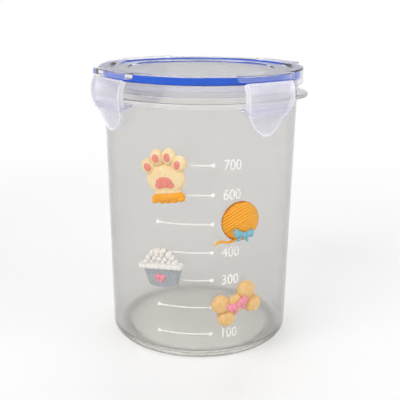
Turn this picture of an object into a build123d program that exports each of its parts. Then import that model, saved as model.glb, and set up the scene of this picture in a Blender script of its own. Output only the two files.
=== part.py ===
"""A clear round pet food bin with a snap-down lid, in millimetres.

The bin stands on z = 0 about the Z axis, with its printed front towards -Y. The lid carries a blue seal and
four hinged latches that hook under a collar on the bin, and four resin charms are glued to the front.
"""

from build123d import *
from math import asin, cos, degrees, radians, sin, sqrt, tan
import os

# The bin: a drafted shell with a foot ring, and a neck above a collar for the latches
base_radius = 47.4
wall_draft = 0.86
wall = 1.2
rim_height = 137.4
neck_height = 10.4
rim_round = 0.4
floor_thickness = 1.4
base_corner = 3.5
inner_corner = 3.0
foot_width = 5.0
foot_height = 1.0
foot_slope = 0.8
collar_thickness = 2.1
collar_reach = 1.7
collar_round = 0.6
ear_radius = 25.0
ear_reach = 4.0

# The lid: a skirt and a plug wall either side of the bin's rim, and a stepped top panel
lid_wall = 1.1
lid_roof = 1.0
skirt_clearance = 1.44
skirt_drop = 2.8
plug_clearance = 0.5
plug_drop = 5.9
panel_drop = 1.0
panel_thickness = 1.5
centre_radius = 37.5
centre_drop = 0.5
lid_edge_round = 0.9
lid_lip_round = 0.4

# The seal: a silicone ring with a slot moulded in its top, so that it yields
seal_height = 3.6
seal_clearance = 0.05
seal_slot_width = 1.0
seal_slot_depth = 1.8
seal_round = 0.7

# The hinge pads on the lid, and the gap that a latch's thin hinge spans
lid_turn = -9.3
pad_width = 31.0
pad_reach = 2.0
pad_height = 2.8
pad_round = 1.2
hinge_reach = 0.2
hinge_drop = 0.25
hinge_gap = 0.25

# The latches: a bulged front plate with side flanges, a finger lip that flares out, and a hook
latch_width = 27.6
plate_thickness = 1.3
flange_thickness = 1.2
flange_depth = 2.4
lip_flange_depth = 1.5
bulge_swell = 1.89
bulge_below = 3.4
lip_length = 10.76
lip_flare = 19.5
shoulder_below = 0.45
shoulder_round = 9.0
tip_width = 8.6
tip_trim = 0.2
tip_round = 2.4
hook_gap = 0.15
hook_thickness = 0.9
hook_slope = 2.0
hook_clearance = 0.62

# The charms: cast resin, flat at the back, each on a round dab of clear glue
glue_thickness = 0.8
glue_radius = 5.5
glue_clearance = 0.05
charm_depth = 4.6
charm_round = 1.9
relief = 0.7

# The paw charm
palm_width = 20.0
palm_height = 15.5
palm_rise = -1.5
toe_radius = 3.7
inner_toe_reach = 2.9
inner_toe_rise = 9.0
outer_toe_reach = 7.6
outer_toe_rise = 5.2
palm_pad_width = 9.0
palm_pad_height = 6.6
toe_pad_radius = 1.9
cuff_width = 16.0
cuff_height = 5.4
cuff_rise = -9.8
cuff_round = 2.4

# The yarn charm, and the bow that it shares with the bone charm
ball_radius = 10.6
ball_sink = 4.6
tail_reach = -5.5
tail_rise = -9.6
tail_length = 13.0
tail_width = 2.8
tail_angle = -12
yarn_bow_rise = -5.0
yarn_bow_depth = 6.4
bow_reach = 3.9
bow_loop_width = 6.6
bow_loop_height = 5.6
bow_knot = 2.0

# The bowl charm
bowl_mouth = 19.5
bowl_foot = 14.5
bowl_height = 11.0
bowl_corner = 2.0
bowl_lip = 2.6
bowl_lip_height = 3.4
bowl_lip_round = 1.5
bowl_step = 0.8
bowl_round = 0.6
heap_width = 17.0
heap_height = 8.6
heap_round = 1.4
heart_side = 3.4
heart_rise = -6.2

# The bone charm
bone_length = 14.5
bone_bar = 8.4
knob_radius = 4.7
knob_spread = 4.0

# Where each charm sits: degrees round from the front, height, and tilt on the wall
paw_place = (-18.5, 95.5, 8.0)
yarn_place = (23.0, 73.0, -6.0)
bowl_place = (-21.5, 50.5, 5.0)
bone_place = (21.5, 30.5, 24.0)


def wall_radius(height):
    """The bin's outside radius at a height."""
    return base_radius + height * tan(radians(wall_draft))


collar_height = rim_height - neck_height
collar_top = collar_height + collar_thickness
collar_radius = wall_radius(collar_height) + collar_reach
ear_centre = collar_radius + ear_reach - ear_radius
rim_radius = wall_radius(rim_height)
skirt_inner = rim_radius + skirt_clearance
lid_radius = skirt_inner + lid_wall
skirt_bottom = rim_height - skirt_drop
plug_outer = rim_radius - wall - plug_clearance
plug_inner = plug_outer - lid_wall
plug_bottom = rim_height - plug_drop
seal_bottom = rim_height + seal_clearance
seal_top = seal_bottom + seal_height
lid_top = seal_top + lid_roof
panel_top = lid_top - panel_drop
panel_bottom = panel_top - panel_thickness
pad_face = lid_radius + pad_reach
pad_bottom = lid_top - pad_height
hinge_radius = pad_face + hinge_reach
hinge_height = pad_bottom - hinge_drop
latch_top = hinge_height - hinge_gap
latch_turns = {
    "front_right": 45 + lid_turn,
    "back_right": 135 + lid_turn,
    "back_left": 225 + lid_turn,
    "front_left": 315 + lid_turn,
}


def radial_plane(turn, radius=0.0, height=0.0, tilt=0.0):
    """A plane that faces straight out from the axis, turned round from the front, with its X to the right."""
    out = Vector(sin(radians(turn)), -cos(radians(turn)), 0)
    right = Vector(cos(radians(turn)), sin(radians(turn)), 0)
    along = right * cos(radians(tilt)) + Vector(0, 0, 1) * sin(radians(tilt))
    return Plane(origin=out * radius + Vector(0, 0, height), x_dir=along, z_dir=out)


def section_plane(turn):
    """The upright plane that halves a latch: X is the distance from the axis and Y is the height."""
    out = Vector(sin(radians(turn)), -cos(radians(turn)), 0)
    return Plane(origin=(0, 0, 0), x_dir=out, z_dir=out.cross(Vector(0, 0, 1)))


def nearest(sketch, x, y):
    """The corner of a sketch that is nearest a point."""
    return sketch.vertices().sort_by_distance((x, y))[0]


def save(part, name):
    """Labels a finished piece and writes it to its own file."""
    part.label = name
    export_step(part, f"parts/{name}.step")


os.makedirs("parts", exist_ok=True)

# Bin: one revolved shell, with the collar in its profile
floor_top = foot_height + floor_thickness
foot_outer = base_radius - base_corner
foot_inner = foot_outer - foot_width
floor_radius = wall_radius(floor_top) - wall
with BuildPart() as bin_shell:
    with BuildSketch(Plane.XZ) as bin_profile:
        with BuildLine():
            Polyline(
                (0, foot_height),
                (foot_inner - foot_slope, foot_height),
                (foot_inner, 0),
                (base_radius, 0),
                (wall_radius(collar_height), collar_height),
                (collar_radius, collar_height),
                (collar_radius, collar_top),
                (wall_radius(collar_top), collar_top),
                (rim_radius, rim_height),
                (rim_radius - wall, rim_height),
                (floor_radius, floor_top),
                (0, floor_top),
                close=True,
            )
        make_face()
        fillet(nearest(bin_profile, base_radius, 0), base_corner)
        fillet(nearest(bin_profile, floor_radius, floor_top), inner_corner)
        fillet(nearest(bin_profile, collar_radius, collar_height), collar_round)
        fillet(nearest(bin_profile, collar_radius, collar_top), collar_round)
        fillet(nearest(bin_profile, rim_radius, rim_height), rim_round)
        fillet(nearest(bin_profile, rim_radius - wall, rim_height), rim_round)
    revolve(axis=Axis.Z)

# The ears widen the collar at each side, for a finger to hold while a latch is pulled
with BuildPart() as ears:
    with BuildSketch(Plane.XY.offset(collar_height)):
        with Locations((ear_centre, 0), (-ear_centre, 0)):
            Circle(ear_radius)
        Circle(wall_radius(collar_height) - wall / 2, mode=Mode.SUBTRACT)
    extrude(amount=collar_thickness)
    fillet(ears.edges().filter_by(GeomType.CIRCLE).group_by(SortBy.RADIUS)[0], collar_round)

with BuildPart() as bin_body:
    add(bin_shell.part)
    add(ears.part)
save(bin_body.part, "bin_body")

# Lid: skirt, roof, plug wall and panel in one profile, with a flat-faced pad above each latch
with BuildPart() as lid_shell:
    with BuildSketch(Plane.XZ) as lid_profile:
        with BuildLine():
            Polyline(
                (0, panel_bottom),
                (plug_inner, panel_bottom),
                (plug_inner, plug_bottom),
                (plug_outer, plug_bottom),
                (plug_outer, seal_top),
                (skirt_inner, seal_top),
                (skirt_inner, skirt_bottom),
                (lid_radius, skirt_bottom),
                (lid_radius, lid_top),
                (plug_inner, lid_top),
                (plug_inner - panel_drop, panel_top),
                (centre_radius, panel_top),
                (centre_radius - centre_drop, panel_top - centre_drop),
                (0, panel_top - centre_drop),
                close=True,
            )
        make_face()
        fillet(nearest(lid_profile, lid_radius, lid_top), lid_edge_round)
        fillet(nearest(lid_profile, plug_inner, lid_top), lid_lip_round)
        fillet(nearest(lid_profile, plug_inner, plug_bottom), lid_lip_round)
        fillet(nearest(lid_profile, plug_outer, plug_bottom), lid_lip_round)
        fillet(nearest(lid_profile, lid_radius, skirt_bottom), lid_lip_round)
    revolve(axis=Axis.Z)

pads = []
for turn in latch_turns.values():
    with BuildPart() as pad:
        with BuildSketch(Plane.XY.offset(pad_bottom).rotated((0, 0, turn - 90))) as pad_plan:
            with Locations((pad_face / 2, 0)):
                Rectangle(pad_face, pad_width)
            fillet(pad_plan.vertices().group_by(Axis.X)[-1], pad_round)
            Circle(skirt_inner + lid_wall / 2, mode=Mode.SUBTRACT)
        extrude(amount=pad_height)
    pads.append(pad.part)

with BuildPart() as lid:
    add(lid_shell.part)
    add(pads)
save(lid.part, "lid")

# Seal: fills the channel above the bin's rim
seal_inner = plug_outer + seal_clearance
seal_outer = skirt_inner - seal_clearance
seal_middle = (seal_inner + seal_outer) / 2
with BuildPart() as seal:
    with BuildSketch(Plane.XZ) as seal_profile:
        with Locations((seal_middle, (seal_bottom + seal_top - seal_clearance) / 2)):
            Rectangle(seal_outer - seal_inner, seal_height - seal_clearance)
        fillet(seal_profile.vertices().group_by(Axis.Y)[0], seal_round)
        with Locations((seal_middle, seal_top - seal_slot_depth / 2)):
            Rectangle(seal_slot_width, seal_slot_depth, mode=Mode.SUBTRACT)
    revolve(axis=Axis.Z)
save(seal.part, "seal_ring")

# Latches: the outside face is a convex bulge, from the hinge to just below the collar, then a concave lip
bulge_span = latch_top - collar_height + bulge_below
bulge_radius = (bulge_span**2 / 4 + bulge_swell**2) / (2 * bulge_swell)
bulge_angle = degrees(asin(bulge_span / 2 / bulge_radius))
bulge_depth = Vector(bulge_radius * cos(radians(bulge_angle)), bulge_span / 2)
bulge_centre = Vector(hinge_radius, latch_top) - bulge_depth
lip_radius = lip_length / (sin(radians(bulge_angle)) + sin(radians(lip_flare)))
lip_stretch = (bulge_radius + lip_radius) / bulge_radius
lip_centre = bulge_centre + Vector(bulge_depth.X, -bulge_depth.Y) * lip_stretch
lip_start = 180 - bulge_angle
lip_end = 180 + lip_flare
latch_tip = lip_centre.Y - lip_radius * sin(radians(lip_flare)) + tip_trim
hook_top = collar_height - hook_gap


def around(centre, radius, angle):
    """The point on a circle at an angle in degrees."""
    return centre + Vector(cos(radians(angle)), sin(radians(angle))) * radius


def face_arcs(depth, lip_depth):
    """The two arcs down the latch's face, this far in from the outside, as three points each."""
    bulge = [around(bulge_centre, bulge_radius - depth, angle) for angle in (bulge_angle, 0, -bulge_angle)]
    lip = [bulge[2]]
    for angle in ((lip_start + lip_end) / 2, lip_end):
        lip.append(around(lip_centre, lip_radius + lip_depth, angle))
    return bulge, lip


def latch_section(turn, outside, inside):
    """The latch's section between two depths, each given for the bulge and for the lip."""
    outer_bulge, outer_lip = face_arcs(*outside)
    inner_bulge, inner_lip = face_arcs(*inside)
    with BuildSketch(section_plane(turn)) as section:
        with BuildLine():
            ThreePointArc(*outer_bulge)
            ThreePointArc(*outer_lip)
            Line(outer_lip[2], inner_lip[2])
            ThreePointArc(*reversed(inner_lip))
            ThreePointArc(*reversed(inner_bulge))
            Line(inner_bulge[0], outer_bulge[0])
        make_face()
    return section.sketch


def latch_outline(turn, inset):
    """The latch seen from the front, this far in from its edge: straight sides that taper to a blunt tip."""
    half_width = latch_width / 2 - inset
    half_tip = (tip_width - inset) / 2
    shoulder = collar_height - shoulder_below
    low = latch_tip + inset
    with BuildSketch(radial_plane(turn)) as outline:
        with BuildLine():
            Polyline(
                (-half_width, lid_top),
                (half_width, lid_top),
                (half_width, shoulder),
                (half_tip, low),
                (-half_tip, low),
                (-half_width, shoulder),
                close=True,
            )
        make_face()
        for side in (-1, 1):
            fillet(nearest(outline, side * half_width, shoulder), shoulder_round)
            fillet(nearest(outline, side * half_tip, low), tip_round)
    return outline.sketch


def hook_section(turn):
    """The hook's section: a flat ledge under the collar, with a sloping underside that runs to the plate."""
    rise = hook_top - bulge_centre.Y
    plate_middle = bulge_centre.X + sqrt(bulge_radius**2 - rise**2) - plate_thickness / 2
    with BuildSketch(section_plane(turn)) as section:
        with BuildLine():
            Polyline(
                (plate_middle, hook_top),
                (base_radius, hook_top),
                (base_radius, hook_top - hook_thickness),
                (plate_middle, hook_top - hook_thickness - hook_slope),
                close=True,
            )
        make_face()
    return section.sketch


plate_inside = (plate_thickness, plate_thickness)
flange_inside = (flange_depth, lip_flange_depth)
beyond_flange = (2 * flange_depth, 2 * flange_depth)
for name, turn in latch_turns.items():
    with BuildPart() as pocket:
        extrude(latch_section(turn, plate_inside, beyond_flange), amount=latch_width, both=True)
        extrude(latch_outline(turn, flange_thickness), amount=2 * hinge_radius, mode=Mode.INTERSECT)

    with BuildPart() as hook:
        extrude(hook_section(turn), amount=(latch_width - flange_thickness) / 2, both=True)
        with BuildSketch(Plane.XY.offset(latch_tip)):
            Circle(wall_radius(collar_height) + hook_clearance)
        extrude(amount=lid_top - latch_tip, mode=Mode.SUBTRACT)

    with BuildPart() as latch:
        extrude(latch_section(turn, (0, 0), flange_inside), amount=latch_width, both=True)
        extrude(latch_outline(turn, 0), amount=2 * hinge_radius, mode=Mode.INTERSECT)
        add(pocket.part, mode=Mode.SUBTRACT)
        add(hook.part)
    save(latch.part, f"latch_{name}")


def charm_plane(place):
    """The flat back of a charm: it stands off the wall by the thickness of the glue."""
    turn, height, tilt = place
    return radial_plane(turn, wall_radius(height) + glue_thickness, height, tilt)


def front_edges(part, plane):
    """The edges of a charm that lie furthest out from its flat back."""
    return part.edges().group_by(Axis(plane.origin, plane.z_dir))[-1]


def bow(plane, rise):
    """A bow's two loops and its knot, this far above the middle of a charm."""
    with BuildSketch(plane) as outline:
        with Locations((bow_reach, rise), (-bow_reach, rise)):
            Ellipse(bow_loop_width / 2, bow_loop_height / 2)
        with Locations((0, rise)):
            Circle(bow_knot)
    return outline.sketch


# Paw charm: a palm, four toes and a cuff, with a raised pad on the palm and on each toe
plane = charm_plane(paw_place)
toe_places = [(side * outer_toe_reach, outer_toe_rise) for side in (-1, 1)]
toe_places += [(side * inner_toe_reach, inner_toe_rise) for side in (-1, 1)]
with BuildPart() as paw:
    with BuildSketch(plane):
        with Locations((0, palm_rise)):
            Ellipse(palm_width / 2, palm_height / 2)
        with Locations(*toe_places):
            Circle(toe_radius)
        with Locations((0, cuff_rise)):
            RectangleRounded(cuff_width, cuff_height, cuff_round)
    extrude(amount=charm_depth)
    fillet(front_edges(paw, plane), charm_round)
    with BuildSketch(plane.offset(charm_depth)):
        with Locations((0, palm_rise)):
            Ellipse(palm_pad_width / 2, palm_pad_height / 2)
        with Locations(*toe_places):
            Circle(toe_pad_radius)
    extrude(amount=relief)
save(paw.part, "charm_paw")

# Yarn charm: the front of a ball, with a loose end of yarn and a bow
plane = charm_plane(yarn_place)
with BuildPart() as yarn:
    with Locations(plane.offset(-ball_sink)):
        Sphere(ball_radius)
    split(bisect_by=plane, keep=Keep.TOP)
    with BuildSketch(plane):
        with Locations((tail_reach, tail_rise)):
            SlotOverall(tail_length, tail_width, rotation=tail_angle)
    extrude(amount=tail_width)
    extrude(bow(plane, yarn_bow_rise), amount=yarn_bow_depth)
save(yarn.part, "charm_yarn")

# Bowl charm: a heap of food behind a tapered bowl with a lip and a heart
plane = charm_plane(bowl_place)
with BuildPart() as bowl:
    with BuildSketch(plane):
        Ellipse(heap_width / 2, heap_height)
    extrude(amount=charm_depth - bowl_step)
    fillet(front_edges(bowl, plane), heap_round)
    with BuildSketch(plane) as bowl_outline:
        with BuildLine():
            Polyline(
                (-bowl_foot / 2, -bowl_height),
                (bowl_foot / 2, -bowl_height),
                (bowl_mouth / 2, 0),
                (-bowl_mouth / 2, 0),
                close=True,
            )
        make_face()
        fillet(bowl_outline.vertices().group_by(Axis.Y)[0], bowl_corner)
    extrude(amount=charm_depth)
    fillet(front_edges(bowl, plane), bowl_round)
    with BuildSketch(plane):
        RectangleRounded(bowl_mouth + bowl_lip, bowl_lip_height, bowl_lip_round)
    extrude(amount=charm_depth + bowl_step)
    fillet(front_edges(bowl, plane), bowl_round)
    with BuildSketch(plane):
        with Locations((0, heart_rise)):
            Rectangle(heart_side, heart_side, rotation=45)
            with PolarLocations(heart_side / 2, 2, start_angle=45, angular_range=90, endpoint=True):
                Circle(heart_side / 2)
    extrude(amount=charm_depth + relief)
save(bowl.part, "charm_bowl")

# Bone charm: a bar with two knobs at each end and a bow tied round the middle
plane = charm_plane(bone_place)
with BuildPart() as bone:
    with BuildSketch(plane):
        Rectangle(bone_length, bone_bar)
        with GridLocations(bone_length, 2 * knob_spread, 2, 2):
            Circle(knob_radius)
    extrude(amount=charm_depth)
    fillet(front_edges(bone, plane), charm_round)
    extrude(bow(plane, 0), amount=charm_depth + relief)
save(bone.part, "charm_bone")

# Glue: a dab behind each charm, shaped to the bin's wall
charm_places = {"paw": paw_place, "yarn": yarn_place, "bowl": bowl_place, "bone": bone_place}
for name, place in charm_places.items():
    low = place[1] - 2 * glue_radius
    high = place[1] + 2 * glue_radius
    with BuildPart() as glue:
        with BuildSketch(charm_plane(place)):
            Circle(glue_radius)
        extrude(amount=-glue_radius)
        with BuildSketch(Plane.XZ):
            with BuildLine():
                Polyline(
                    (0, low),
                    (wall_radius(low) + glue_clearance, low),
                    (wall_radius(high) + glue_clearance, high),
                    (0, high),
                    close=True,
                )
            make_face()
        revolve(axis=Axis.Z, mode=Mode.SUBTRACT)
    save(glue.part, f"glue_{name}")
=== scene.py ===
from math import asin, cos, exp, log, pi, radians, sin, sqrt, tan

import bmesh
import bpy
import numpy as np
from mathutils import Matrix, Vector


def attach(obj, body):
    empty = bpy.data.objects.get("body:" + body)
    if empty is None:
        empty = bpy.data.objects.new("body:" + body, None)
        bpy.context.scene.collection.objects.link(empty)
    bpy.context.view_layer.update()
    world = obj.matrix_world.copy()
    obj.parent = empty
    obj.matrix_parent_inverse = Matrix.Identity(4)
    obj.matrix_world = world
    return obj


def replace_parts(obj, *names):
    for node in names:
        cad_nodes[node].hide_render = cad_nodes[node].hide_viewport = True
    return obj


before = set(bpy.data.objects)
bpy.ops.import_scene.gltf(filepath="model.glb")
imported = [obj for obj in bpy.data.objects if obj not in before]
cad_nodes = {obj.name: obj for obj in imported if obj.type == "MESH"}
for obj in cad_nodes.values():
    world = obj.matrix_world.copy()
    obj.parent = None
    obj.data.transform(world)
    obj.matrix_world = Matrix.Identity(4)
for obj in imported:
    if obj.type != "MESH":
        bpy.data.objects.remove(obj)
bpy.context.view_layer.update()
# Sizes are in millimetres, except the studio's and the camera's
MM = 0.001

# Bin body
# A drafted round cup of clarified polypropylene, injection moulded in one shot with its foot ring, the
# collar under the neck and the two finger ears. It stands on the foot ring.
WALL_GREY = "#E9E8E6"
POLYPROPYLENE_IOR = 1.49
RIM_FADE = 0.05
HANDLING_MARK_MM = 2.5
HANDLING_DULLS = 2.2
# Flow marks are drawn deeper than they are moulded, so that they show
FLOW_MARK_MM = 9.0
FLOW_MARK_DEPTH_MM = 0.2
FLOW_MARK_STRENGTH = 0.12


def linear(hex_colour):
    """An sRGB hex colour as linear red, green, blue and alpha."""
    channels = [int(hex_colour[i : i + 2], 16) / 255 for i in (1, 3, 5)]
    return [c / 12.92 if c <= 0.04045 else ((c + 0.055) / 1.055) ** 2.4 for c in channels] + [1.0]


def add_node(tree, kind, inputs=(), **settings):
    """Adds a shader node: settings are its own choices, inputs are values or the sockets that feed it."""
    made = tree.nodes.new("ShaderNode" + kind)
    for name, value in settings.items():
        setattr(made, name, value)
    for name, value in dict(inputs).items():
        if isinstance(value, bpy.types.NodeSocket):
            tree.links.new(value, made.inputs[name])
        else:
            made.inputs[name].default_value = value
    return made


def new_material(name):
    """An empty node material, its tree and its output node."""
    material = bpy.data.materials.new(name)
    material.use_nodes = True
    material.node_tree.nodes.clear()
    output = material.node_tree.nodes.new("ShaderNodeOutputMaterial")
    return material, material.node_tree, output


def thick_part(tree, place, inside, low, high):
    """A mask that is 1 on the thick rims of a moulding: outside a radius and between two heights, in mm."""
    across = add_node(tree, "VectorMath", {0: place, 1: (1, 1, 0)}, operation="MULTIPLY")
    radius = add_node(tree, "VectorMath", {0: across.outputs["Vector"]}, operation="LENGTH").outputs["Value"]
    height = add_node(tree, "SeparateXYZ", {"Vector": place}).outputs["Z"]
    mask = 1.0
    for value, edge, sign in ((radius, inside, 1), (height, low, 1), (height, high, -1)):
        start, end = sorted(((edge - RIM_FADE) * MM, (edge + RIM_FADE) * MM))
        ends = {"To Min": 0.0, "To Max": 1.0} if sign > 0 else {"To Min": 1.0, "To Max": 0.0}
        step = add_node(tree, "MapRange", {"Value": value, "From Min": start, "From Max": end, **ends})
        mask = add_node(tree, "Math", {0: mask, 1: step.outputs["Result"]}, operation="MULTIPLY").outputs[0]
    return mask


def clear_plastic(name, colour, clearness, roughness, ior=POLYPROPYLENE_IOR, rims=(), rim_clearness=0.6):
    """A smooth clear plastic. It is clear but never quite: flow marks bend what is seen through it, handling
    leaves its gloss uneven, and its thick rims are milky. Lamps shine through it."""
    material, tree, output = new_material(name)
    place = add_node(tree, "TexCoord").outputs["Object"]
    smudge_scale = 1 / (HANDLING_MARK_MM * MM)
    handling = add_node(tree, "TexNoise", {"Vector": place, "Scale": smudge_scale, "Detail": 4.0})
    gloss = add_node(
        tree,
        "MapRange",
        {
            "Value": handling.outputs["Fac"],
            "From Min": 0.3,
            "From Max": 0.7,
            "To Min": roughness,
            "To Max": roughness * HANDLING_DULLS,
        },
    )
    flow = add_node(tree, "TexNoise", {"Vector": place, "Scale": 1 / (FLOW_MARK_MM * MM), "Detail": 1.0})
    ripple = add_node(
        tree,
        "Bump",
        {"Height": flow.outputs["Fac"], "Strength": FLOW_MARK_STRENGTH, "Distance": FLOW_MARK_DEPTH_MM * MM},
    )
    plastic = add_node(
        tree,
        "BsdfPrincipled",
        {
            "Base Color": linear(colour),
            "Roughness": gloss.outputs["Result"],
            "IOR": ior,
            "Transmission Weight": clearness,
            "Normal": ripple.outputs["Normal"],
        },
    )
    if rims:
        mask = 0.0
        for rim in rims:
            part = thick_part(tree, place, *rim)
            mask = add_node(tree, "Math", {0: mask, 1: part}, operation="MAXIMUM").outputs[0]
        milk = add_node(tree, "MapRange", {"Value": mask, "To Min": clearness, "To Max": rim_clearness})
        tree.links.new(milk.outputs["Result"], plastic.inputs["Transmission Weight"])
    open_to_lamps = add_node(tree, "BsdfTransparent", {"Color": linear(colour)})
    lamp_ray = add_node(tree, "LightPath").outputs["Is Shadow Ray"]
    both = add_node(tree, "MixShader", {"Fac": lamp_ray})
    tree.links.new(plastic.outputs["BSDF"], both.inputs[1])
    tree.links.new(open_to_lamps.outputs["BSDF"], both.inputs[2])
    tree.links.new(both.outputs["Shader"], output.inputs["Surface"])
    return material


def finish_cad_node(name, material):
    """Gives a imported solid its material."""
    for material_slot in cad_nodes[name].material_slots:
        material_slot.material = material


# Polypropylene from a polished tool: the wall is a light, slightly warm grey, and the ears and the collar are
# thick and show whitish. Each rim is given by its inner radius, its lowest and its highest point.
EARS = (51.3, 125.0, 131.0)
COLLAR = (50.2, 126.6, 129.5)
clear_polypropylene = clear_plastic("clear_polypropylene", WALL_GREY, 1.0, 0.09, rims=(EARS, COLLAR))
finish_cad_node("bin_body", clear_polypropylene)

# Volume scale
# White ink, screen printed on the outside of the wall: seven lines with a dot at each end, and the volume
# in millilitres beside each. The film of ink is a few hundredths of a millimetre thick.
BASE_RADIUS = 47.4
WALL_DRAFT = radians(0.86)
INK_WHITE = "#F6F5F2"
INK_LIFT = 0.04
INK_THICKNESS = 0.05
SHARP_ANGLE = 40
LINE_COUNT = 7
LINE_VOLUME = 100
FIRST_LINE_HEIGHT = 14.4
LINE_SPACING = 14.4
LINE_WIDTH = 0.62
LINE_POINT = 0.01
LINE_STEPS = 64
DOT_RADIUS = 1.0
DOT_STEPS = 16
NUMBER_EM = 7.3
NUMBER_BOLDNESS = 0.04
NUMBER_SMOOTHNESS = 8
NUMBER_SQUEEZE = 0.82
NUMBER_DROP = 2.5
WELD_DISTANCE = 0.001
# Where the lines and the numbers start and end, in degrees round the bin from its front
LINE_START = -24.5
LINE_END = 7.1
NUMBER_START = 12.8


def wall_radius(height):
    """The outside radius of the bin's wall at a height, in millimetres."""
    return BASE_RADIUS + height * tan(WALL_DRAFT)


def on_wall(along, height, lift):
    """The point, in metres, this far along the wall from the front, at this height and this far out."""
    turn = along / wall_radius(height)
    out = wall_radius(height) + lift
    return Vector((out * sin(turn), -out * cos(turn), height)) * MM


def new_piece(name, mesh_maker, material, body):
    """Makes an object from a filled bmesh, with its material and body."""
    mesh = bpy.data.meshes.new(name)
    mesh_maker.to_mesh(mesh)
    mesh_maker.free()
    piece = bpy.data.objects.new(name, mesh)
    bpy.context.scene.collection.objects.link(piece)
    dress(piece, material, body)
    return piece


def dress(piece, material, body):
    """Gives a piece its material and the body that it rides on."""
    piece.data.materials.append(material)
    piece.data.shade_smooth()
    piece.data.set_sharp_from_angle(angle=radians(SHARP_ANGLE))
    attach(piece, body)


def dotted_line(mesh, start, end, height):
    """One printed line with its two dots, as a single strip whose width swells to a circle at each end."""
    between_dots = end - start - 2 * DOT_RADIUS
    steps = [start - DOT_RADIUS + 2 * DOT_RADIUS * i / DOT_STEPS for i in range(DOT_STEPS + 1)]
    steps += [start + DOT_RADIUS + between_dots * i / LINE_STEPS for i in range(1, LINE_STEPS)]
    steps += [end - DOT_RADIUS + 2 * DOT_RADIUS * i / DOT_STEPS for i in range(DOT_STEPS + 1)]
    rows = []
    for along in steps:
        from_dot = min(abs(along - start), abs(along - end))
        half_line = LINE_WIDTH / 2 if start < along < end else LINE_POINT
        half = max(sqrt(max(DOT_RADIUS**2 - from_dot**2, 0.0)), half_line)
        row = []
        for lift in (INK_LIFT, INK_LIFT + INK_THICKNESS):
            row += [mesh.verts.new(on_wall(along, height + side * half, lift)) for side in (-1, 1)]
        rows.append(row)
    for near, far in zip(rows, rows[1:]):
        for a, b in ((0, 1), (1, 3), (3, 2), (2, 0)):
            mesh.faces.new((near[a], near[b], far[b], far[a]))
    mesh.faces.new((rows[0][0], rows[0][2], rows[0][3], rows[0][1]))
    mesh.faces.new((rows[-1][0], rows[-1][1], rows[-1][3], rows[-1][2]))


# Screen ink dries matt, with a faint grain from the mesh of the screen. The grain is drawn coarser than a
# real screen leaves it, so that it shows.
SCREEN_GRAIN_MM = 0.35
SCREEN_GRAIN_DEPTH_MM = 0.03
screen_ink, tree, output = new_material("white_screen_ink")
place = add_node(tree, "TexCoord").outputs["Object"]
screen = add_node(tree, "TexNoise", {"Vector": place, "Scale": 1 / (SCREEN_GRAIN_MM * MM), "Detail": 2.0})
relief = add_node(
    tree,
    "Bump",
    {"Height": screen.outputs["Fac"], "Strength": 0.2, "Distance": SCREEN_GRAIN_DEPTH_MM * MM},
)
ink = add_node(
    tree,
    "BsdfPrincipled",
    {"Base Color": linear(INK_WHITE), "Roughness": 0.5, "Normal": relief.outputs["Normal"]},
)
tree.links.new(ink.outputs["BSDF"], output.inputs["Surface"])

lines = bmesh.new()
numbers = bmesh.new()
for step in range(LINE_COUNT):
    height = FIRST_LINE_HEIGHT + step * LINE_SPACING
    radius = wall_radius(height)
    dotted_line(lines, radians(LINE_START) * radius, radians(LINE_END) * radius, height)
    text = bpy.data.curves.new("volume", "FONT")
    text.body = str(LINE_VOLUME * (step + 1))
    text.size = NUMBER_EM
    text.extrude = INK_THICKNESS / 2
    text.offset = NUMBER_BOLDNESS
    text.resolution_u = NUMBER_SMOOTHNESS
    holder = bpy.data.objects.new("volume", text)
    bpy.context.scene.collection.objects.link(holder)
    bpy.context.view_layer.update()
    flat = bpy.data.meshes.new_from_object(holder.evaluated_get(bpy.context.evaluated_depsgraph_get()))
    for vertex in flat.vertices:
        x, y, z = vertex.co
        along = radians(NUMBER_START) * radius + x * NUMBER_SQUEEZE
        vertex.co = on_wall(along, height - NUMBER_DROP + y, INK_LIFT + INK_THICKNESS / 2 + z)
    numbers.from_mesh(flat)
    bpy.data.objects.remove(holder)
bmesh.ops.recalc_face_normals(lines, faces=lines.faces)
bmesh.ops.remove_doubles(numbers, verts=numbers.verts, dist=WELD_DISTANCE * MM)
new_piece("scale_lines", lines, screen_ink, "bin")
new_piece("scale_numbers", numbers, screen_ink, "bin")

# Glue
# A dab of clear hot-melt behind each charm, pressed out to a disc between its flat back and the round wall.
# It sets duller, cloudier and a little yellower than the bin.
GLUE_YELLOW = "#F1EFE6"
clear_glue = clear_plastic("clear_hot_melt_glue", GLUE_YELLOW, 0.7, 0.2)
for charm in ("paw", "yarn", "bowl", "bone"):
    finish_cad_node("glue_" + charm, clear_glue)

# Paw charm
# Polyurethane resin cast in a soft mould and painted by hand: a cream paw with rosy pads in a marigold cuff.
# Its surface copies a fluffy model, so fine strokes of fur are moulded into it.
GLUE_THICKNESS = 0.8
CLAY_GRAIN = 0.3
FINE_GRAIN = 0.2
RESIN_IOR = 1.5
RESIN_GLOW = 0.15
RESIN_GLOW_MM = 0.8
VARNISH_ROUGHNESS = 0.38
# How far towards the shade colour the painted shade in the hollows and the strokes of fur go
HOLLOW_PAINTED_SHADE = 0.75
STROKE_SHADE = 0.45
SWIRL_MM = 5
SWIRL_REACH_MM = 4
# The strokes of fur are drawn coarser than they are cast, so that they show
FUR_STROKE_MM = (0.4, 2.4)
STROKE_RELIEF_MM = 0.4
CREAM = "#F6E3B4"
CREAM_SHADE = "#E6BD82"
ROSE = "#EE9488"
ROSE_SHADE = "#D56B5E"
MARIGOLD = "#F8AE1E"
MARIGOLD_SHADE = "#E07F0A"
PAW_PLACE = (-18.5, 95.5, 8.0)


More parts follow.
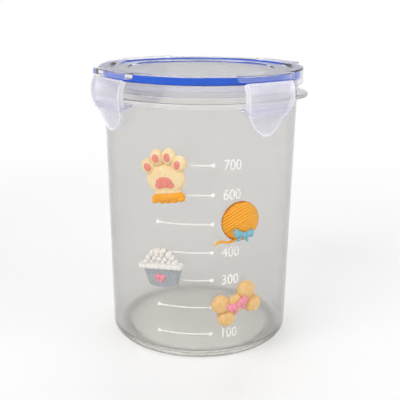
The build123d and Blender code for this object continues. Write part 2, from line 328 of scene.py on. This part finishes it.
def charm_frame(place):
    """Where a charm sits, from its turn round the bin in degrees, its height and its tilt in degrees. Its
    flat back is the XY plane, with Y up the wall and Z straight out."""
    turn, height, tilt = place
    out = Vector((sin(radians(turn)), -cos(radians(turn)), 0))
    right = Vector((cos(radians(turn)), sin(radians(turn)), 0))
    across = right * cos(radians(tilt)) + Vector((0, 0, 1)) * sin(radians(tilt))
    up = out.cross(across)
    origin = (out * (wall_radius(height) + GLUE_THICKNESS) + Vector((0, 0, height))) * MM
    turned = Matrix((across, up, out)).transposed().to_4x4()
    return Matrix.Translation(origin) @ turned


def lump(clay, centre, radii, turn=0.0, lean=0.0):
    """Adds one ellipsoid of modelling clay: centre and radii in millimetres, turned flat and then leaned."""
    where = Matrix.Translation(Vector(centre) * MM)
    turned = Matrix.Rotation(radians(turn), 4, "Z") @ Matrix.Rotation(radians(lean), 4, "Y")
    stretched = Matrix.Diagonal((radii[0] * MM, radii[1] * MM, radii[2] * MM, 1))
    bmesh.ops.create_icosphere(clay, subdivisions=4, radius=1, matrix=where @ turned @ stretched)


def cast(name, clay, place, material, smoothing=5, grain=CLAY_GRAIN, floor=0.0):
    """Casts clay as one skin: its lumps are merged, softened, cut flat at the back and set in place."""
    mesh = bpy.data.meshes.new(name)
    clay.to_mesh(mesh)
    clay.free()
    model = bpy.data.objects.new(name + "_model", mesh)
    bpy.context.scene.collection.objects.link(model)
    merge = model.modifiers.new("merge", "REMESH")
    merge.mode = "VOXEL"
    merge.voxel_size = grain * MM
    soften = model.modifiers.new("soften", "SMOOTH")
    soften.iterations = smoothing
    soften.factor = 0.5
    bpy.context.view_layer.update()
    skin = bpy.data.meshes.new_from_object(model.evaluated_get(bpy.context.evaluated_depsgraph_get()))
    bpy.data.objects.remove(model)
    for vertex in skin.vertices:
        vertex.co.z = max(vertex.co.z, floor * MM)
    skin.transform(charm_frame(place))
    piece = bpy.data.objects.new(name, skin)
    bpy.context.scene.collection.objects.link(piece)
    dress(piece, material, "bin")
    return piece


def painted_resin(name, colour, shade, stroke_mm=FUR_STROKE_MM, stroke_depth=0.8):
    """Cast resin with a brushed acrylic coat: painted shade darkens the hollows, the paint is darker between
    the strokes of fur, and a thin varnish leaves a soft gloss."""
    material, tree, output = new_material(name)
    place = add_node(tree, "TexCoord").outputs["Object"]
    bend = add_node(tree, "TexNoise", {"Vector": place, "Scale": 1 / (SWIRL_MM * MM), "Detail": 1.0})
    reach = SWIRL_REACH_MM * MM
    swirl = add_node(
        tree, "VectorMath", {0: bend.outputs["Color"], 1: (reach, reach, reach)}, operation="MULTIPLY"
    )
    bent = add_node(tree, "VectorMath", {0: place, 1: swirl.outputs["Vector"]}, operation="ADD")
    width, length = stroke_mm
    comb = (1 / (width * MM), 1 / (length * MM), 1 / (length * MM))
    combed = add_node(tree, "VectorMath", {0: bent.outputs["Vector"], 1: comb}, operation="MULTIPLY")
    strokes = add_node(
        tree,
        "TexNoise",
        {"Vector": combed.outputs["Vector"], "Scale": 1.0, "Detail": 2.0, "Roughness": 0.55},
    )
    # Painted shade: the paint goes towards the shade colour where the surface is hollow, in creases and where
    # parts meet
    hollow = add_node(tree, "NewGeometry").outputs["Pointiness"]
    painted_shade = add_node(
        tree,
        "MapRange",
        {"Value": hollow, "From Min": 0.44, "From Max": 0.52, "To Min": HOLLOW_PAINTED_SHADE, "To Max": 0.0},
    )
    grain = add_node(
        tree,
        "MapRange",
        {
            "Value": strokes.outputs["Fac"],
            "From Min": 0.36,
            "From Max": 0.58,
            "To Min": STROKE_SHADE,
            "To Max": 0.0,
        },
    )
    dark = add_node(
        tree,
        "Math",
        {0: painted_shade.outputs["Result"], 1: grain.outputs["Result"]},
        operation="ADD",
        use_clamp=True,
    )
    paint = add_node(tree, "Mix", {"Factor": dark.outputs[0]}, data_type="RGBA")
    paint.inputs["A"].default_value = linear(colour)
    paint.inputs["B"].default_value = linear(shade)
    relief = add_node(
        tree,
        "Bump",
        {"Height": strokes.outputs["Fac"], "Strength": stroke_depth, "Distance": STROKE_RELIEF_MM * MM},
    )
    resin = add_node(
        tree,
        "BsdfPrincipled",
        {
            "Roughness": VARNISH_ROUGHNESS,
            "IOR": RESIN_IOR,
            "Subsurface Weight": RESIN_GLOW,
            "Subsurface Radius": (1.0, 0.6, 0.4),
            "Subsurface Scale": RESIN_GLOW_MM * MM,
            "Normal": relief.outputs["Normal"],
        },
    )
    tree.links.new(paint.outputs["Result"], resin.inputs["Base Color"])
    tree.links.new(resin.outputs["BSDF"], output.inputs["Surface"])
    return material


# Cream looks furry, with ochre between its strokes. Rose and marigold are nearly smooth.
cream_resin = painted_resin("cream_painted_resin", CREAM, CREAM_SHADE)
rose_resin = painted_resin("rose_painted_resin", ROSE, ROSE_SHADE, stroke_depth=0.1)
marigold_resin = painted_resin("marigold_painted_resin", MARIGOLD, MARIGOLD_SHADE, stroke_depth=0.2)

# The middle of each toe, across and up from the middle of the charm
PAW_TOES = ((-7.6, 5.2), (-2.9, 9.0), (2.9, 9.0), (7.6, 5.2))
clay = bmesh.new()
lump(clay, (0, -1.5, 0.8), (9.6, 7.4, 3.6))
lump(clay, (0, -7.5, 0.8), (6.6, 4.5, 3.0))
for x, y in PAW_TOES:
    lump(clay, (x, y, 0.8), (3.6, 3.9, 3.4), turn=-3 * x)
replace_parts(cast("charm_paw_fur", clay, PAW_PLACE, cream_resin), "charm_paw")

clay = bmesh.new()
lump(clay, (0, -2.2, 3.6), (4.3, 3.0, 1.25))
lump(clay, (-2.6, -3.6, 3.3), (2.3, 2.0, 1.2))
lump(clay, (2.6, -3.6, 3.3), (2.3, 2.0, 1.2))
for x, y in PAW_TOES:
    lump(clay, (x * 0.97, y, 3.4), (1.75, 2.2, 1.15), turn=-3 * x)
cast("charm_paw_pads", clay, PAW_PLACE, rose_resin, smoothing=2, grain=FINE_GRAIN, floor=2.0)

CUFF_FOLDS = 5
FOLD_SPACING = 3.2
clay = bmesh.new()
lump(clay, (0, -9.6, 1.0), (8.0, 2.6, 3.9))
for i in range(CUFF_FOLDS):
    lump(clay, (-6.4 + FOLD_SPACING * i, -11.0 - 0.5 * cos((i - 2) * 0.7), 1.4), (1.9, 1.6, 2.6))
cast("charm_paw_cuff", clay, PAW_PLACE, marigold_resin)

# Yarn charm
# The same cast and painted resin: half a ball of orange yarn, with its windings, its loose end and a pale
# blue bow. It is glued to the wall by its flat back.
ORANGE = "#FDB32E"
ORANGE_SHADE = "#DC8214"
PALE_BLUE = "#86BFCE"
PALE_BLUE_SHADE = "#4E8EA6"
YARN_PLACE = (23.0, 73.0, -6.0)
BALL_RADIUS = 9.7
BALL_SINK = 4.6
BALL_PADDING = 0.2
YARN_RADIUS = 0.62
YARN_STROKE_MM = (0.2, 0.6)
WINDING_STEPS = 72
LOWEST_SEEN = -0.2
SHORTEST_SEEN = 4
# Each belt of windings: its turn and lean in degrees, how far it lies above the ball, and its strands
YARN_BELTS = ((70, 8, 0.0, 15), (-35, 20, 0.25, 11), (15, 35, 0.4, 7), (120, 30, 0.55, 6))
# The loose end, from where it leaves the ball
YARN_TAIL = (
    (-1.0, -8.6, 0.9),
    (-3.0, -10.2, 0.8),
    (-6.5, -10.8, 0.8),
    (-9.5, -9.4, 0.8),
    (-11.4, -10.6, 0.8),
    (-12.2, -11.9, 0.8),
)


def bow(name, place, centre, size, material):
    """A bow of two puffed loops and a knot, with its two tails below."""
    clay = bmesh.new()
    x, y, z = centre
    for side in (-1, 1):
        lump(clay, (x + side * 2.4 * size, y + 0.2 * size, z), (2.2 * size, 1.5 * size, 1.3), turn=side * 12)
        lump(clay, (x + side * 3.7 * size, y + 0.5 * size, z), (1.3 * size, 2.1 * size, 1.2), turn=side * -8)
        tail = (x + side * 1.7 * size, y - 2.2 * size, z - 0.5)
        lump(clay, tail, (0.9 * size, 1.9 * size, 0.8), turn=side * 34)
    lump(clay, (x, y, z + 0.4), (1.15 * size, 1.3 * size, 1.3))
    return cast(name, clay, place, material, smoothing=2, grain=FINE_GRAIN)


def strand(curve, points):
    """Adds one smooth strand of yarn through the points."""
    spline = curve.splines.new("NURBS")
    spline.points.add(len(points) - 1)
    for knot, point in zip(spline.points, points):
        knot.co = (*point, 1)
    spline.use_endpoint_u = True


# The yarn's paint is finely flecked, with burnt orange painted between the strands as shade. The bow's is
# nearly smooth.
yarn_resin = painted_resin(
    "orange_painted_resin", ORANGE, ORANGE_SHADE, stroke_mm=YARN_STROKE_MM, stroke_depth=0.35
)
pale_blue_resin = painted_resin("pale_blue_painted_resin", PALE_BLUE, PALE_BLUE_SHADE, stroke_depth=0.15)
clay = bmesh.new()
padded = BALL_RADIUS + BALL_PADDING
lump(clay, (0, 0, -BALL_SINK), (padded, padded, padded))
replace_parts(cast("charm_yarn_ball", clay, YARN_PLACE, yarn_resin), "charm_yarn")

yarn = bpy.data.curves.new("charm_yarn_strands", "CURVE")
yarn.dimensions = "3D"
yarn.bevel_depth = YARN_RADIUS * MM
yarn.bevel_resolution = 3
yarn.resolution_u = 3
yarn.use_fill_caps = True
sunk = Vector((0, 0, BALL_SINK))
turns = [2 * pi * k / WINDING_STEPS for k in range(WINDING_STEPS)]
for turn, lean, rise, count in YARN_BELTS:
    leaned = Matrix.Rotation(radians(turn), 3, "Z") @ Matrix.Rotation(radians(lean), 3, "Y")
    across = leaned @ Vector((1, 0, 0))
    along = across.orthogonal().normalized()
    other = across.cross(along)
    shell = BALL_RADIUS + rise
    for i in range(count):
        offset = (i - (count - 1) / 2) * 2.0 * YARN_RADIUS
        ring = sqrt(shell**2 - offset**2)
        points = [across * offset + (along * cos(t) + other * sin(t)) * ring - sunk for t in turns]
        lowest = min(range(WINDING_STEPS), key=lambda k: points[k].z)
        points = points[lowest:] + points[:lowest]
        shown = [p * MM for p in points if p.z > LOWEST_SEEN]
        if len(shown) > SHORTEST_SEEN:
            strand(yarn, shown)
strand(yarn, [Vector(p) * MM for p in YARN_TAIL])
yarn.transform(charm_frame(YARN_PLACE))
strands = bpy.data.objects.new("charm_yarn_strands", yarn)
bpy.context.scene.collection.objects.link(strands)
yarn.materials.append(yarn_resin)
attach(strands, "bin")
bow("charm_yarn_bow", YARN_PLACE, (0, -5.0, 5.2), 1.05, pale_blue_resin)

# Bowl charm
# The same cast and painted resin: a grey bowl with a white lip and a heap of white pieces, and a pink heart
# on its front. It is glued to the wall by its flat back.
BOWL_PLACE = (-21.5, 50.5, 5.0)
BOWL_ROWS = 12
BOWL_FOOT = -9.4
BOWL_HEIGHT = 8.6
BOWL_FOOT_HALF = 7.0
BOWL_SPREAD = 2.6
LIP_LUMPS = 15
LIP_HALF = 9.9
HEART_STEPS = 6
GREY = "#B2B6B9"
GREY_SHADE = "#83898D"
WHITE = "#F1EEE8"
WHITE_SHADE = "#B9B4AC"
PINK = "#F0A0AE"
PINK_SHADE = "#D9687E"
# Grey is brushed in plain strokes. White and pink are smoother, with a soft shade in their hollows.
grey_resin = painted_resin("grey_painted_resin", GREY, GREY_SHADE)
white_resin = painted_resin("white_painted_resin", WHITE, WHITE_SHADE, stroke_depth=0.25)
pink_resin = painted_resin("pink_painted_resin", PINK, PINK_SHADE, stroke_depth=0.1)

clay = bmesh.new()
for row in range(BOWL_ROWS):
    share = row / (BOWL_ROWS - 1)
    half = BOWL_FOOT_HALF + BOWL_SPREAD * share
    lump(clay, (0, BOWL_FOOT + BOWL_HEIGHT * share, 0.8), (half + 0.6, 1.6, 3.2))
    lump(clay, (0, BOWL_FOOT + BOWL_HEIGHT * share, 0.4), (half + 1.0, 1.6, 1.8))
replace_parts(cast("charm_bowl_cup", clay, BOWL_PLACE, grey_resin), "charm_bowl")

clay = bmesh.new()
for i in range(LIP_LUMPS):
    share = i / (LIP_LUMPS - 1) * 2 - 1
    lump(clay, (LIP_HALF * share, 0.0, 1.6), (1.6, 1.75, 3.2))
cast("charm_bowl_lip", clay, BOWL_PLACE, white_resin, smoothing=8)

# Each row of the heap: how many pieces it has, and its height
HEAP_ROWS = ((6, 1.2), (5, 3.2), (4, 5.0), (2, 6.6))
HEAP_SPACING = 2.95
HEAP_GRAIN = 0.22
clay = bmesh.new()
heap_rng = np.random.default_rng(7)
for count, rise in HEAP_ROWS:
    for i in range(count):
        x = (i - (count - 1) / 2) * HEAP_SPACING + heap_rng.uniform(-0.25, 0.25)
        y = rise + 0.7 + heap_rng.uniform(-0.25, 0.25)
        z = 1.1 + heap_rng.uniform(-0.2, 0.5)
        lump(clay, (x, y, z), (1.75, 1.5, 2.2), turn=heap_rng.uniform(0, 180))
cast("charm_bowl_heap", clay, BOWL_PLACE, white_resin, smoothing=1, grain=HEAP_GRAIN)

clay = bmesh.new()
for side in (-1, 1):
    for i in range(HEART_STEPS):
        share = i / (HEART_STEPS - 1)
        centre = (side * 1.35 * (1 - share), -4.9 - 2.5 * share, 3.6)
        lump(clay, centre, (1.55 - 0.85 * share, 1.5 - 0.8 * share, 1.25 - 0.3 * share))
cast("charm_bowl_heart", clay, BOWL_PLACE, pink_resin, smoothing=2, grain=FINE_GRAIN, floor=2.0)

# Bone charm
# The same cast and painted resin: a tan biscuit in the shape of a bone, with a pink bow on its middle. It is
# glued to the wall by its flat back.
BONE_PLACE = (21.5, 30.5, 24.0)
TAN = "#F0CB8C"
TAN_SHADE = "#D29A55"
# Tan looks baked, with a darker brown between its strokes.
tan_resin = painted_resin("tan_painted_resin", TAN, TAN_SHADE)
clay = bmesh.new()
lump(clay, (0, 0, 0.8), (9.5, 4.3, 2.9))
lump(clay, (0, 0, 0.6), (7.5, 4.4, 2.7))
for side in (-1, 1):
    for end in (-1, 1):
        lump(clay, (side * 7.4, end * 4.1, 0.8), (4.7, 4.5, 3.7))
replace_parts(cast("charm_bone_biscuit", clay, BONE_PLACE, tan_resin), "charm_bone")
bow("charm_bone_bow", BONE_PLACE, (0, 0.6, 3.75), 1.15, pink_resin)

# Lid
# A second moulding of the same polypropylene: a skirt outside the bin's rim, a plug wall inside it, a stepped
# panel and four hinge pads. It drops over the bin's rim, and the latches hold it down.
LID_GREY = "#F0F0F7"
# Below polypropylene's own, so that the blue seal shows through the lid
LID_IOR = 1.3
PADS = (52.1, 139.0, 142.2)
SKIRT_STRIP = (50.6, 134.0, 137.4)
# Glossier than the bin and a cooler grey. The pads and the strip under the seal are thick, and show milky.
lid_polypropylene = clear_plastic(
    "lid_polypropylene", LID_GREY, 1.0, 0.04, ior=LID_IOR, rims=(PADS, SKIRT_STRIP), rim_clearness=0.82
)
finish_cad_node("lid", lid_polypropylene)

# Seal
# A ring of blue silicone rubber, moulded and pushed into the channel between the lid's skirt and plug wall.
# It is satin, and it reads as a deep flat blue through the clear lid.
SEAL_BLUE = "#005ACC"
SILICONE_IOR = 1.41
BLOOM_MM = 3
blue_silicone, tree, output = new_material("blue_silicone_rubber")
place = add_node(tree, "TexCoord").outputs["Object"]
bloom = add_node(tree, "TexNoise", {"Vector": place, "Scale": 1 / (BLOOM_MM * MM), "Detail": 3.0})
satin = add_node(tree, "MapRange", {"Value": bloom.outputs["Fac"], "To Min": 0.28, "To Max": 0.5})
rubber = add_node(
    tree,
    "BsdfPrincipled",
    {
        "Base Color": linear(SEAL_BLUE),
        "Roughness": satin.outputs["Result"],
        "IOR": SILICONE_IOR,
        "Specular IOR Level": 0.3,
    },
)
tree.links.new(rubber.outputs["BSDF"], output.inputs["Surface"])
finish_cad_node("seal_ring", blue_silicone)

# Latches
# Four flaps of polypropylene, moulded with the lid and joined to its pads by a thin hinge: a bulged plate, a
# finger lip that flares out to a round tip, a flange down each side and a hook that snaps under the collar.
LATCH_WHITE = "#F2F1F8"
FLANGE_WHITE = "#F4F4F8"
LATCH_TURNS = {"front_right": 35.7, "back_right": 125.7, "back_left": 215.7, "front_left": 305.7}
LATCH_TOP = 138.75
LATCH_HALF_WIDTH = 13.8
NARROWEST_HALF = 0.35
TIP_SHARE = 1.93
POCKET_TOP_SHARE = 0.06
POCKET_TIP_SHARE = 0.09
PLATE_ROWS = 12
LIP_ROWS = 14
LIP_CROWDING = 1.6
HALF_COLUMNS = 4
HINGE_RADIUS = 54.2
PLATE_THICKNESS = 1.3
LIP_THINNING = 0.8
FLANGE_THICKNESS = 1.2
FLANGE_DEPTH = 2.4
LIP_FLANGE_DEPTH = 1.5
BULGE_SPAN = 15.15
BULGE_SWELL = 1.89
LIP_LENGTH = 10.76
LIP_FLARE = radians(19.5)
SHOULDER = 127.4
SHOULDER_SOFTNESS = 0.6
SHIELD_CURVE = 0.52
EDGE_ROUND = 0.35
HOOK_TOP = 126.85
HOOK_THICKNESS = 0.9
HOOK_SLOPE = 2.0
HOOK_INNER = 49.95
HOOK_HALF_WIDTH = 12.6
HOOK_HALF_STEPS = 6
HOOK_SHARE = 0.82


def latch_face(share, depth, lip_depth):
    """A point down the latch's face, as radius and height. Its share is 0 at the hinge, 1 where the lip
    starts and 2 where its curve ends. The depths are how far in the point lies on the plate and on the lip."""
    radius = (BULGE_SPAN**2 / 4 + BULGE_SWELL**2) / (2 * BULGE_SWELL)
    half_angle = asin(BULGE_SPAN / 2 / radius)
    centre = (HINGE_RADIUS - radius * cos(half_angle), LATCH_TOP - BULGE_SPAN / 2)
    if share <= 1:
        angle = half_angle * (1 - 2 * share)
        return centre[0] + (radius - depth) * cos(angle), centre[1] + (radius - depth) * sin(angle)
    lip_radius = LIP_LENGTH / (sin(half_angle) + sin(LIP_FLARE))
    stretch = radius + lip_radius
    lip_centre = (centre[0] + stretch * cos(half_angle), centre[1] - stretch * sin(half_angle))
    angle = pi - half_angle + (share - 1) * (half_angle + LIP_FLARE)
    inward = lip_radius + depth + (lip_depth - depth) * min(1.0, 3 * (share - 1))
    return lip_centre[0] + inward * cos(angle), lip_centre[1] + inward * sin(angle)


def shield_half_width(height):
    """Half the latch's width at a height: straight down to the shoulder, then drawn in to the round tip."""
    tip = latch_face(TIP_SHARE, 0, 0)[1]
    left = max((height - tip) / (SHOULDER - tip), 0.0)
    drawn_in = LATCH_HALF_WIDTH * left**SHIELD_CURVE
    softness = SHOULDER_SOFTNESS
    return -softness * log(exp(-LATCH_HALF_WIDTH / softness) + exp(-drawn_in / softness))


def latch_skin(mesh, place, depths, inset, turned_in):
    """Adds one skin of the latch, inset from its outline, and returns its rows of corners. turned_in says
    which way its faces look, and with None it gets no faces."""
    shares = [i / PLATE_ROWS for i in range(PLATE_ROWS + 1)]
    shares += [2 - (1 - i / LIP_ROWS) ** LIP_CROWDING for i in range(1, LIP_ROWS + 1)]
    first, last = (POCKET_TOP_SHARE, TIP_SHARE - POCKET_TIP_SHARE) if inset else (0.0, TIP_SHARE)
    rows = []
    for share in shares:
        kept = first + (last - first) * share / 2
        radius, height = latch_face(kept, *depths)
        outline_height = latch_face(kept, 0, 0)[1]
        half = max(shield_half_width(outline_height) - inset, NARROWEST_HALF)
        middle = max(half - FLANGE_THICKNESS, half / 2)
        columns = [middle * (j / HALF_COLUMNS - 1) for j in range(2 * HALF_COLUMNS + 1)]
        columns = [-half] + columns + [half]
        rows.append([mesh.verts.new(place(across, radius, height)) for across in columns])
    if turned_in is None:
        return rows
    last_strip = 2 * HALF_COLUMNS + 1
    for upper, lower in zip(rows, rows[1:]):
        for j in range(last_strip + 1):
            corners = (upper[j], lower[j], lower[j + 1], upper[j + 1])
            face = mesh.faces.new(corners if turned_in else corners[::-1])
            face.material_index = 1 if j in (0, last_strip) and not turned_in else 0
    return rows


def border(rows):
    """The corners round the edge of a skin, in order."""
    down = [row[0] for row in rows]
    up = [row[-1] for row in reversed(rows)]
    return down + rows[-1][1:-1] + up + rows[0][-2:0:-1]


def latch_shape(mesh, turn):
    """One latch: an outer skin, its flanges turned in, the pocket behind it and the hook."""
    out = Vector((sin(radians(turn)), -cos(radians(turn)), 0))
    right = Vector((cos(radians(turn)), sin(radians(turn)), 0))

    def place(across, radius, height):
        return (right * across + out * radius + Vector((0, 0, height))) * MM

    outer = latch_skin(mesh, place, (0, 0), 0, False)
    flange_foot = latch_skin(mesh, place, (FLANGE_DEPTH, LIP_FLANGE_DEPTH), 0, None)
    flange_inside = latch_skin(mesh, place, (FLANGE_DEPTH, LIP_FLANGE_DEPTH), FLANGE_THICKNESS, None)
    plate_inside = (PLATE_THICKNESS, PLATE_THICKNESS * LIP_THINNING)
    pocket = latch_skin(mesh, place, plate_inside, FLANGE_THICKNESS, True)
    borders = [border(rows) for rows in (outer, flange_foot, flange_inside, pocket)]
    for near, far in zip(borders, borders[1:]):
        for j in range(len(near)):
            k = (j + 1) % len(near)
            mesh.faces.new((near[j], near[k], far[k], far[j])).material_index = 1
    loose = {v for rows in (flange_foot, flange_inside) for row in rows for v in row}
    loose = loose - set(borders[1]) - set(borders[2])
    bmesh.ops.delete(mesh, geom=list(loose), context="VERTS")
    root = latch_face(HOOK_SHARE, PLATE_THICKNESS / 2, 0)[0]
    hook_rows = []
    for j in range(2 * HOOK_HALF_STEPS + 1):
        across = HOOK_HALF_WIDTH * (j / HOOK_HALF_STEPS - 1)
        inner = sqrt(HOOK_INNER**2 - across**2)
        hook_rows.append(
            [
                mesh.verts.new(place(across, inner, HOOK_TOP)),
                mesh.verts.new(place(across, root, HOOK_TOP)),
                mesh.verts.new(place(across, root, HOOK_TOP - HOOK_THICKNESS - HOOK_SLOPE)),
                mesh.verts.new(place(across, inner, HOOK_TOP - HOOK_THICKNESS)),
            ]
        )
    for near, far in zip(hook_rows, hook_rows[1:]):
        for j in range(4):
            k = (j + 1) % 4
            mesh.faces.new((near[j], far[j], far[k], near[k]))
    mesh.faces.new(hook_rows[0])
    mesh.faces.new(hook_rows[-1][::-1])
    bmesh.ops.recalc_face_normals(mesh, faces=mesh.faces)


# Polypropylene with a duller skin than the wall's: the plate is milky, and the thick flanges are whiter.
latch_polypropylene = clear_plastic("latch_polypropylene", LATCH_WHITE, 0.8, 0.12)
flange_polypropylene = clear_plastic("flange_polypropylene", FLANGE_WHITE, 0.45, 0.25)
for corner, turn in LATCH_TURNS.items():
    flap = bmesh.new()
    latch_shape(flap, turn)
    latch = new_piece(
        "latch_" + corner + "_flap", flap, latch_polypropylene, "latch_" + corner
    )
    latch.data.materials.append(flange_polypropylene)
    rounded = latch.modifiers.new("moulded_edges", "BEVEL")
    rounded.width = EDGE_ROUND * MM
    rounded.segments = 3
    rounded.limit_method = "ANGLE"
    rounded.angle_limit = radians(45)
    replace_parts(latch, "latch_" + corner)

# Studio
# A white paper sweep that the bin stands on, a broad soft lamp above the front left, weaker ones on the
# right and behind, and an even pale room. Far from the bin the sweep is evenly white, and near it the paper
# keeps the bin's shadow. Sizes here are in metres.
SWEEP_WHITE = "#F4F4F4"
SWEEP_HALF = 12.0
SHADOW_REACH = 0.22
SWEEP_FADE = 0.5
floor_mesh = bmesh.new()
bmesh.ops.create_grid(floor_mesh, x_segments=1, y_segments=1, size=SWEEP_HALF)
floor_data = bpy.data.meshes.new("studio_floor")
floor_mesh.to_mesh(floor_data)
floor_mesh.free()
floor = bpy.data.objects.new("studio_floor", floor_data)
bpy.context.scene.collection.objects.link(floor)
paper, tree, output = new_material("white_paper_sweep")
place = add_node(tree, "TexCoord").outputs["Object"]
sheet = add_node(tree, "BsdfPrincipled", {"Base Color": linear(SWEEP_WHITE), "Roughness": 0.8})
white = add_node(tree, "Emission", {"Color": (1, 1, 1, 1), "Strength": 1.0})
reach = add_node(tree, "VectorMath", {0: place}, operation="LENGTH")
far = add_node(
    tree,
    "MapRange",
    {"Value": reach.outputs["Value"], "From Min": SHADOW_REACH, "From Max": SWEEP_FADE},
    interpolation_type="SMOOTHSTEP",
)
ray = add_node(tree, "LightPath").outputs
seen = add_node(tree, "Math", {0: ray["Is Camera Ray"], 1: ray["Is Glossy Ray"]}, operation="ADD")
seen = add_node(
    tree, "Math", {0: seen.outputs[0], 1: ray["Is Transmission Ray"]}, operation="ADD", use_clamp=True
)
fade = add_node(tree, "Math", {0: seen.outputs[0], 1: far.outputs["Result"]}, operation="MULTIPLY")
sweep = add_node(tree, "MixShader", {"Fac": fade.outputs[0]})
tree.links.new(sheet.outputs["BSDF"], sweep.inputs[1])
tree.links.new(white.outputs["Emission"], sweep.inputs[2])
tree.links.new(sweep.outputs["Shader"], output.inputs["Surface"])
floor.data.materials.append(paper)


def soft_lamp(name, place, target, size, power):
    """A square area lamp that faces a point."""
    data = bpy.data.lights.new(name, "AREA")
    data.size = size
    data.energy = power
    lamp = bpy.data.objects.new(name, data)
    lamp.location = place
    lamp.rotation_euler = (Vector(target) - Vector(place)).to_track_quat("-Z", "Y").to_euler()
    bpy.context.scene.collection.objects.link(lamp)


soft_lamp("key_lamp", (-0.55, -0.6, 0.85), (0, 0, 0.07), 0.6, 6.0)
soft_lamp("fill_lamp", (0.7, -0.35, 0.45), (0, 0, 0.07), 0.5, 2.0)
soft_lamp("back_lamp", (0.1, 0.7, 0.7), (0, 0, 0.1), 0.6, 2.9)

# An evenly lit room. The eye sees it white. Mirrored or seen through plastic, it dims a little above the
# horizon, between two heights that go from 0 at the horizon to 1 straight up.
ROOM_LIGHT = 0.5
ROOM_BRIGHT = 0.95
ROOM_DIM = 0.6
DIM_FROM = 0.02
DIM_TO = 0.14
world = bpy.data.worlds.new("white_room")
bpy.context.scene.world = world
world.use_nodes = True
tree = world.node_tree
tree.nodes.clear()
ray = add_node(tree, "LightPath").outputs
direction = add_node(tree, "SeparateXYZ", {"Vector": add_node(tree, "TexCoord").outputs["Generated"]})
ceiling = add_node(
    tree,
    "MapRange",
    {
        "Value": direction.outputs["Z"],
        "From Min": DIM_FROM,
        "From Max": DIM_TO,
        "To Min": ROOM_BRIGHT,
        "To Max": ROOM_DIM,
    },
)
mirrored = add_node(
    tree, "Math", {0: ray["Is Glossy Ray"], 1: ray["Is Transmission Ray"]}, operation="MAXIMUM"
)
dim = add_node(tree, "Mix", {"Factor": mirrored.outputs[0], "A": ROOM_LIGHT, "B": ceiling.outputs["Result"]})
shown = add_node(tree, "Mix", {"Factor": ray["Is Camera Ray"], "A": dim.outputs["Result"], "B": 1.0})
room = add_node(tree, "Background", {"Color": (1, 1, 1, 1), "Strength": shown.outputs["Result"]})
world_output = tree.nodes.new("ShaderNodeOutputWorld")
tree.links.new(room.outputs["Background"], world_output.inputs["Surface"])

# Camera
# Where the photograph was taken from, in metres and degrees, as fitted to the outlines of the bin and its
# lid. The lens and the sensor are in millimetres.
CAMERA_BACK = 0.3645
CAMERA_HEIGHT = 0.1772
CAMERA_PITCH = 16.41
CAMERA_ROLL = 0.46
CAMERA_LENS = 63.3
CAMERA_SENSOR = 36
camera = bpy.data.cameras.new("camera")
camera.sensor_width = CAMERA_SENSOR
camera.lens = CAMERA_LENS
camera.clip_start = 0.01
viewer = bpy.data.objects.new("camera", camera)
aim = Matrix.Rotation(radians(90 - CAMERA_PITCH), 4, "X") @ Matrix.Rotation(radians(CAMERA_ROLL), 4, "Z")
viewer.matrix_world = Matrix.Translation((0, -CAMERA_BACK, CAMERA_HEIGHT)) @ aim
bpy.context.scene.collection.objects.link(viewer)
bpy.context.scene.camera = viewer
bpy.context.scene.view_settings.view_transform = "Standard"
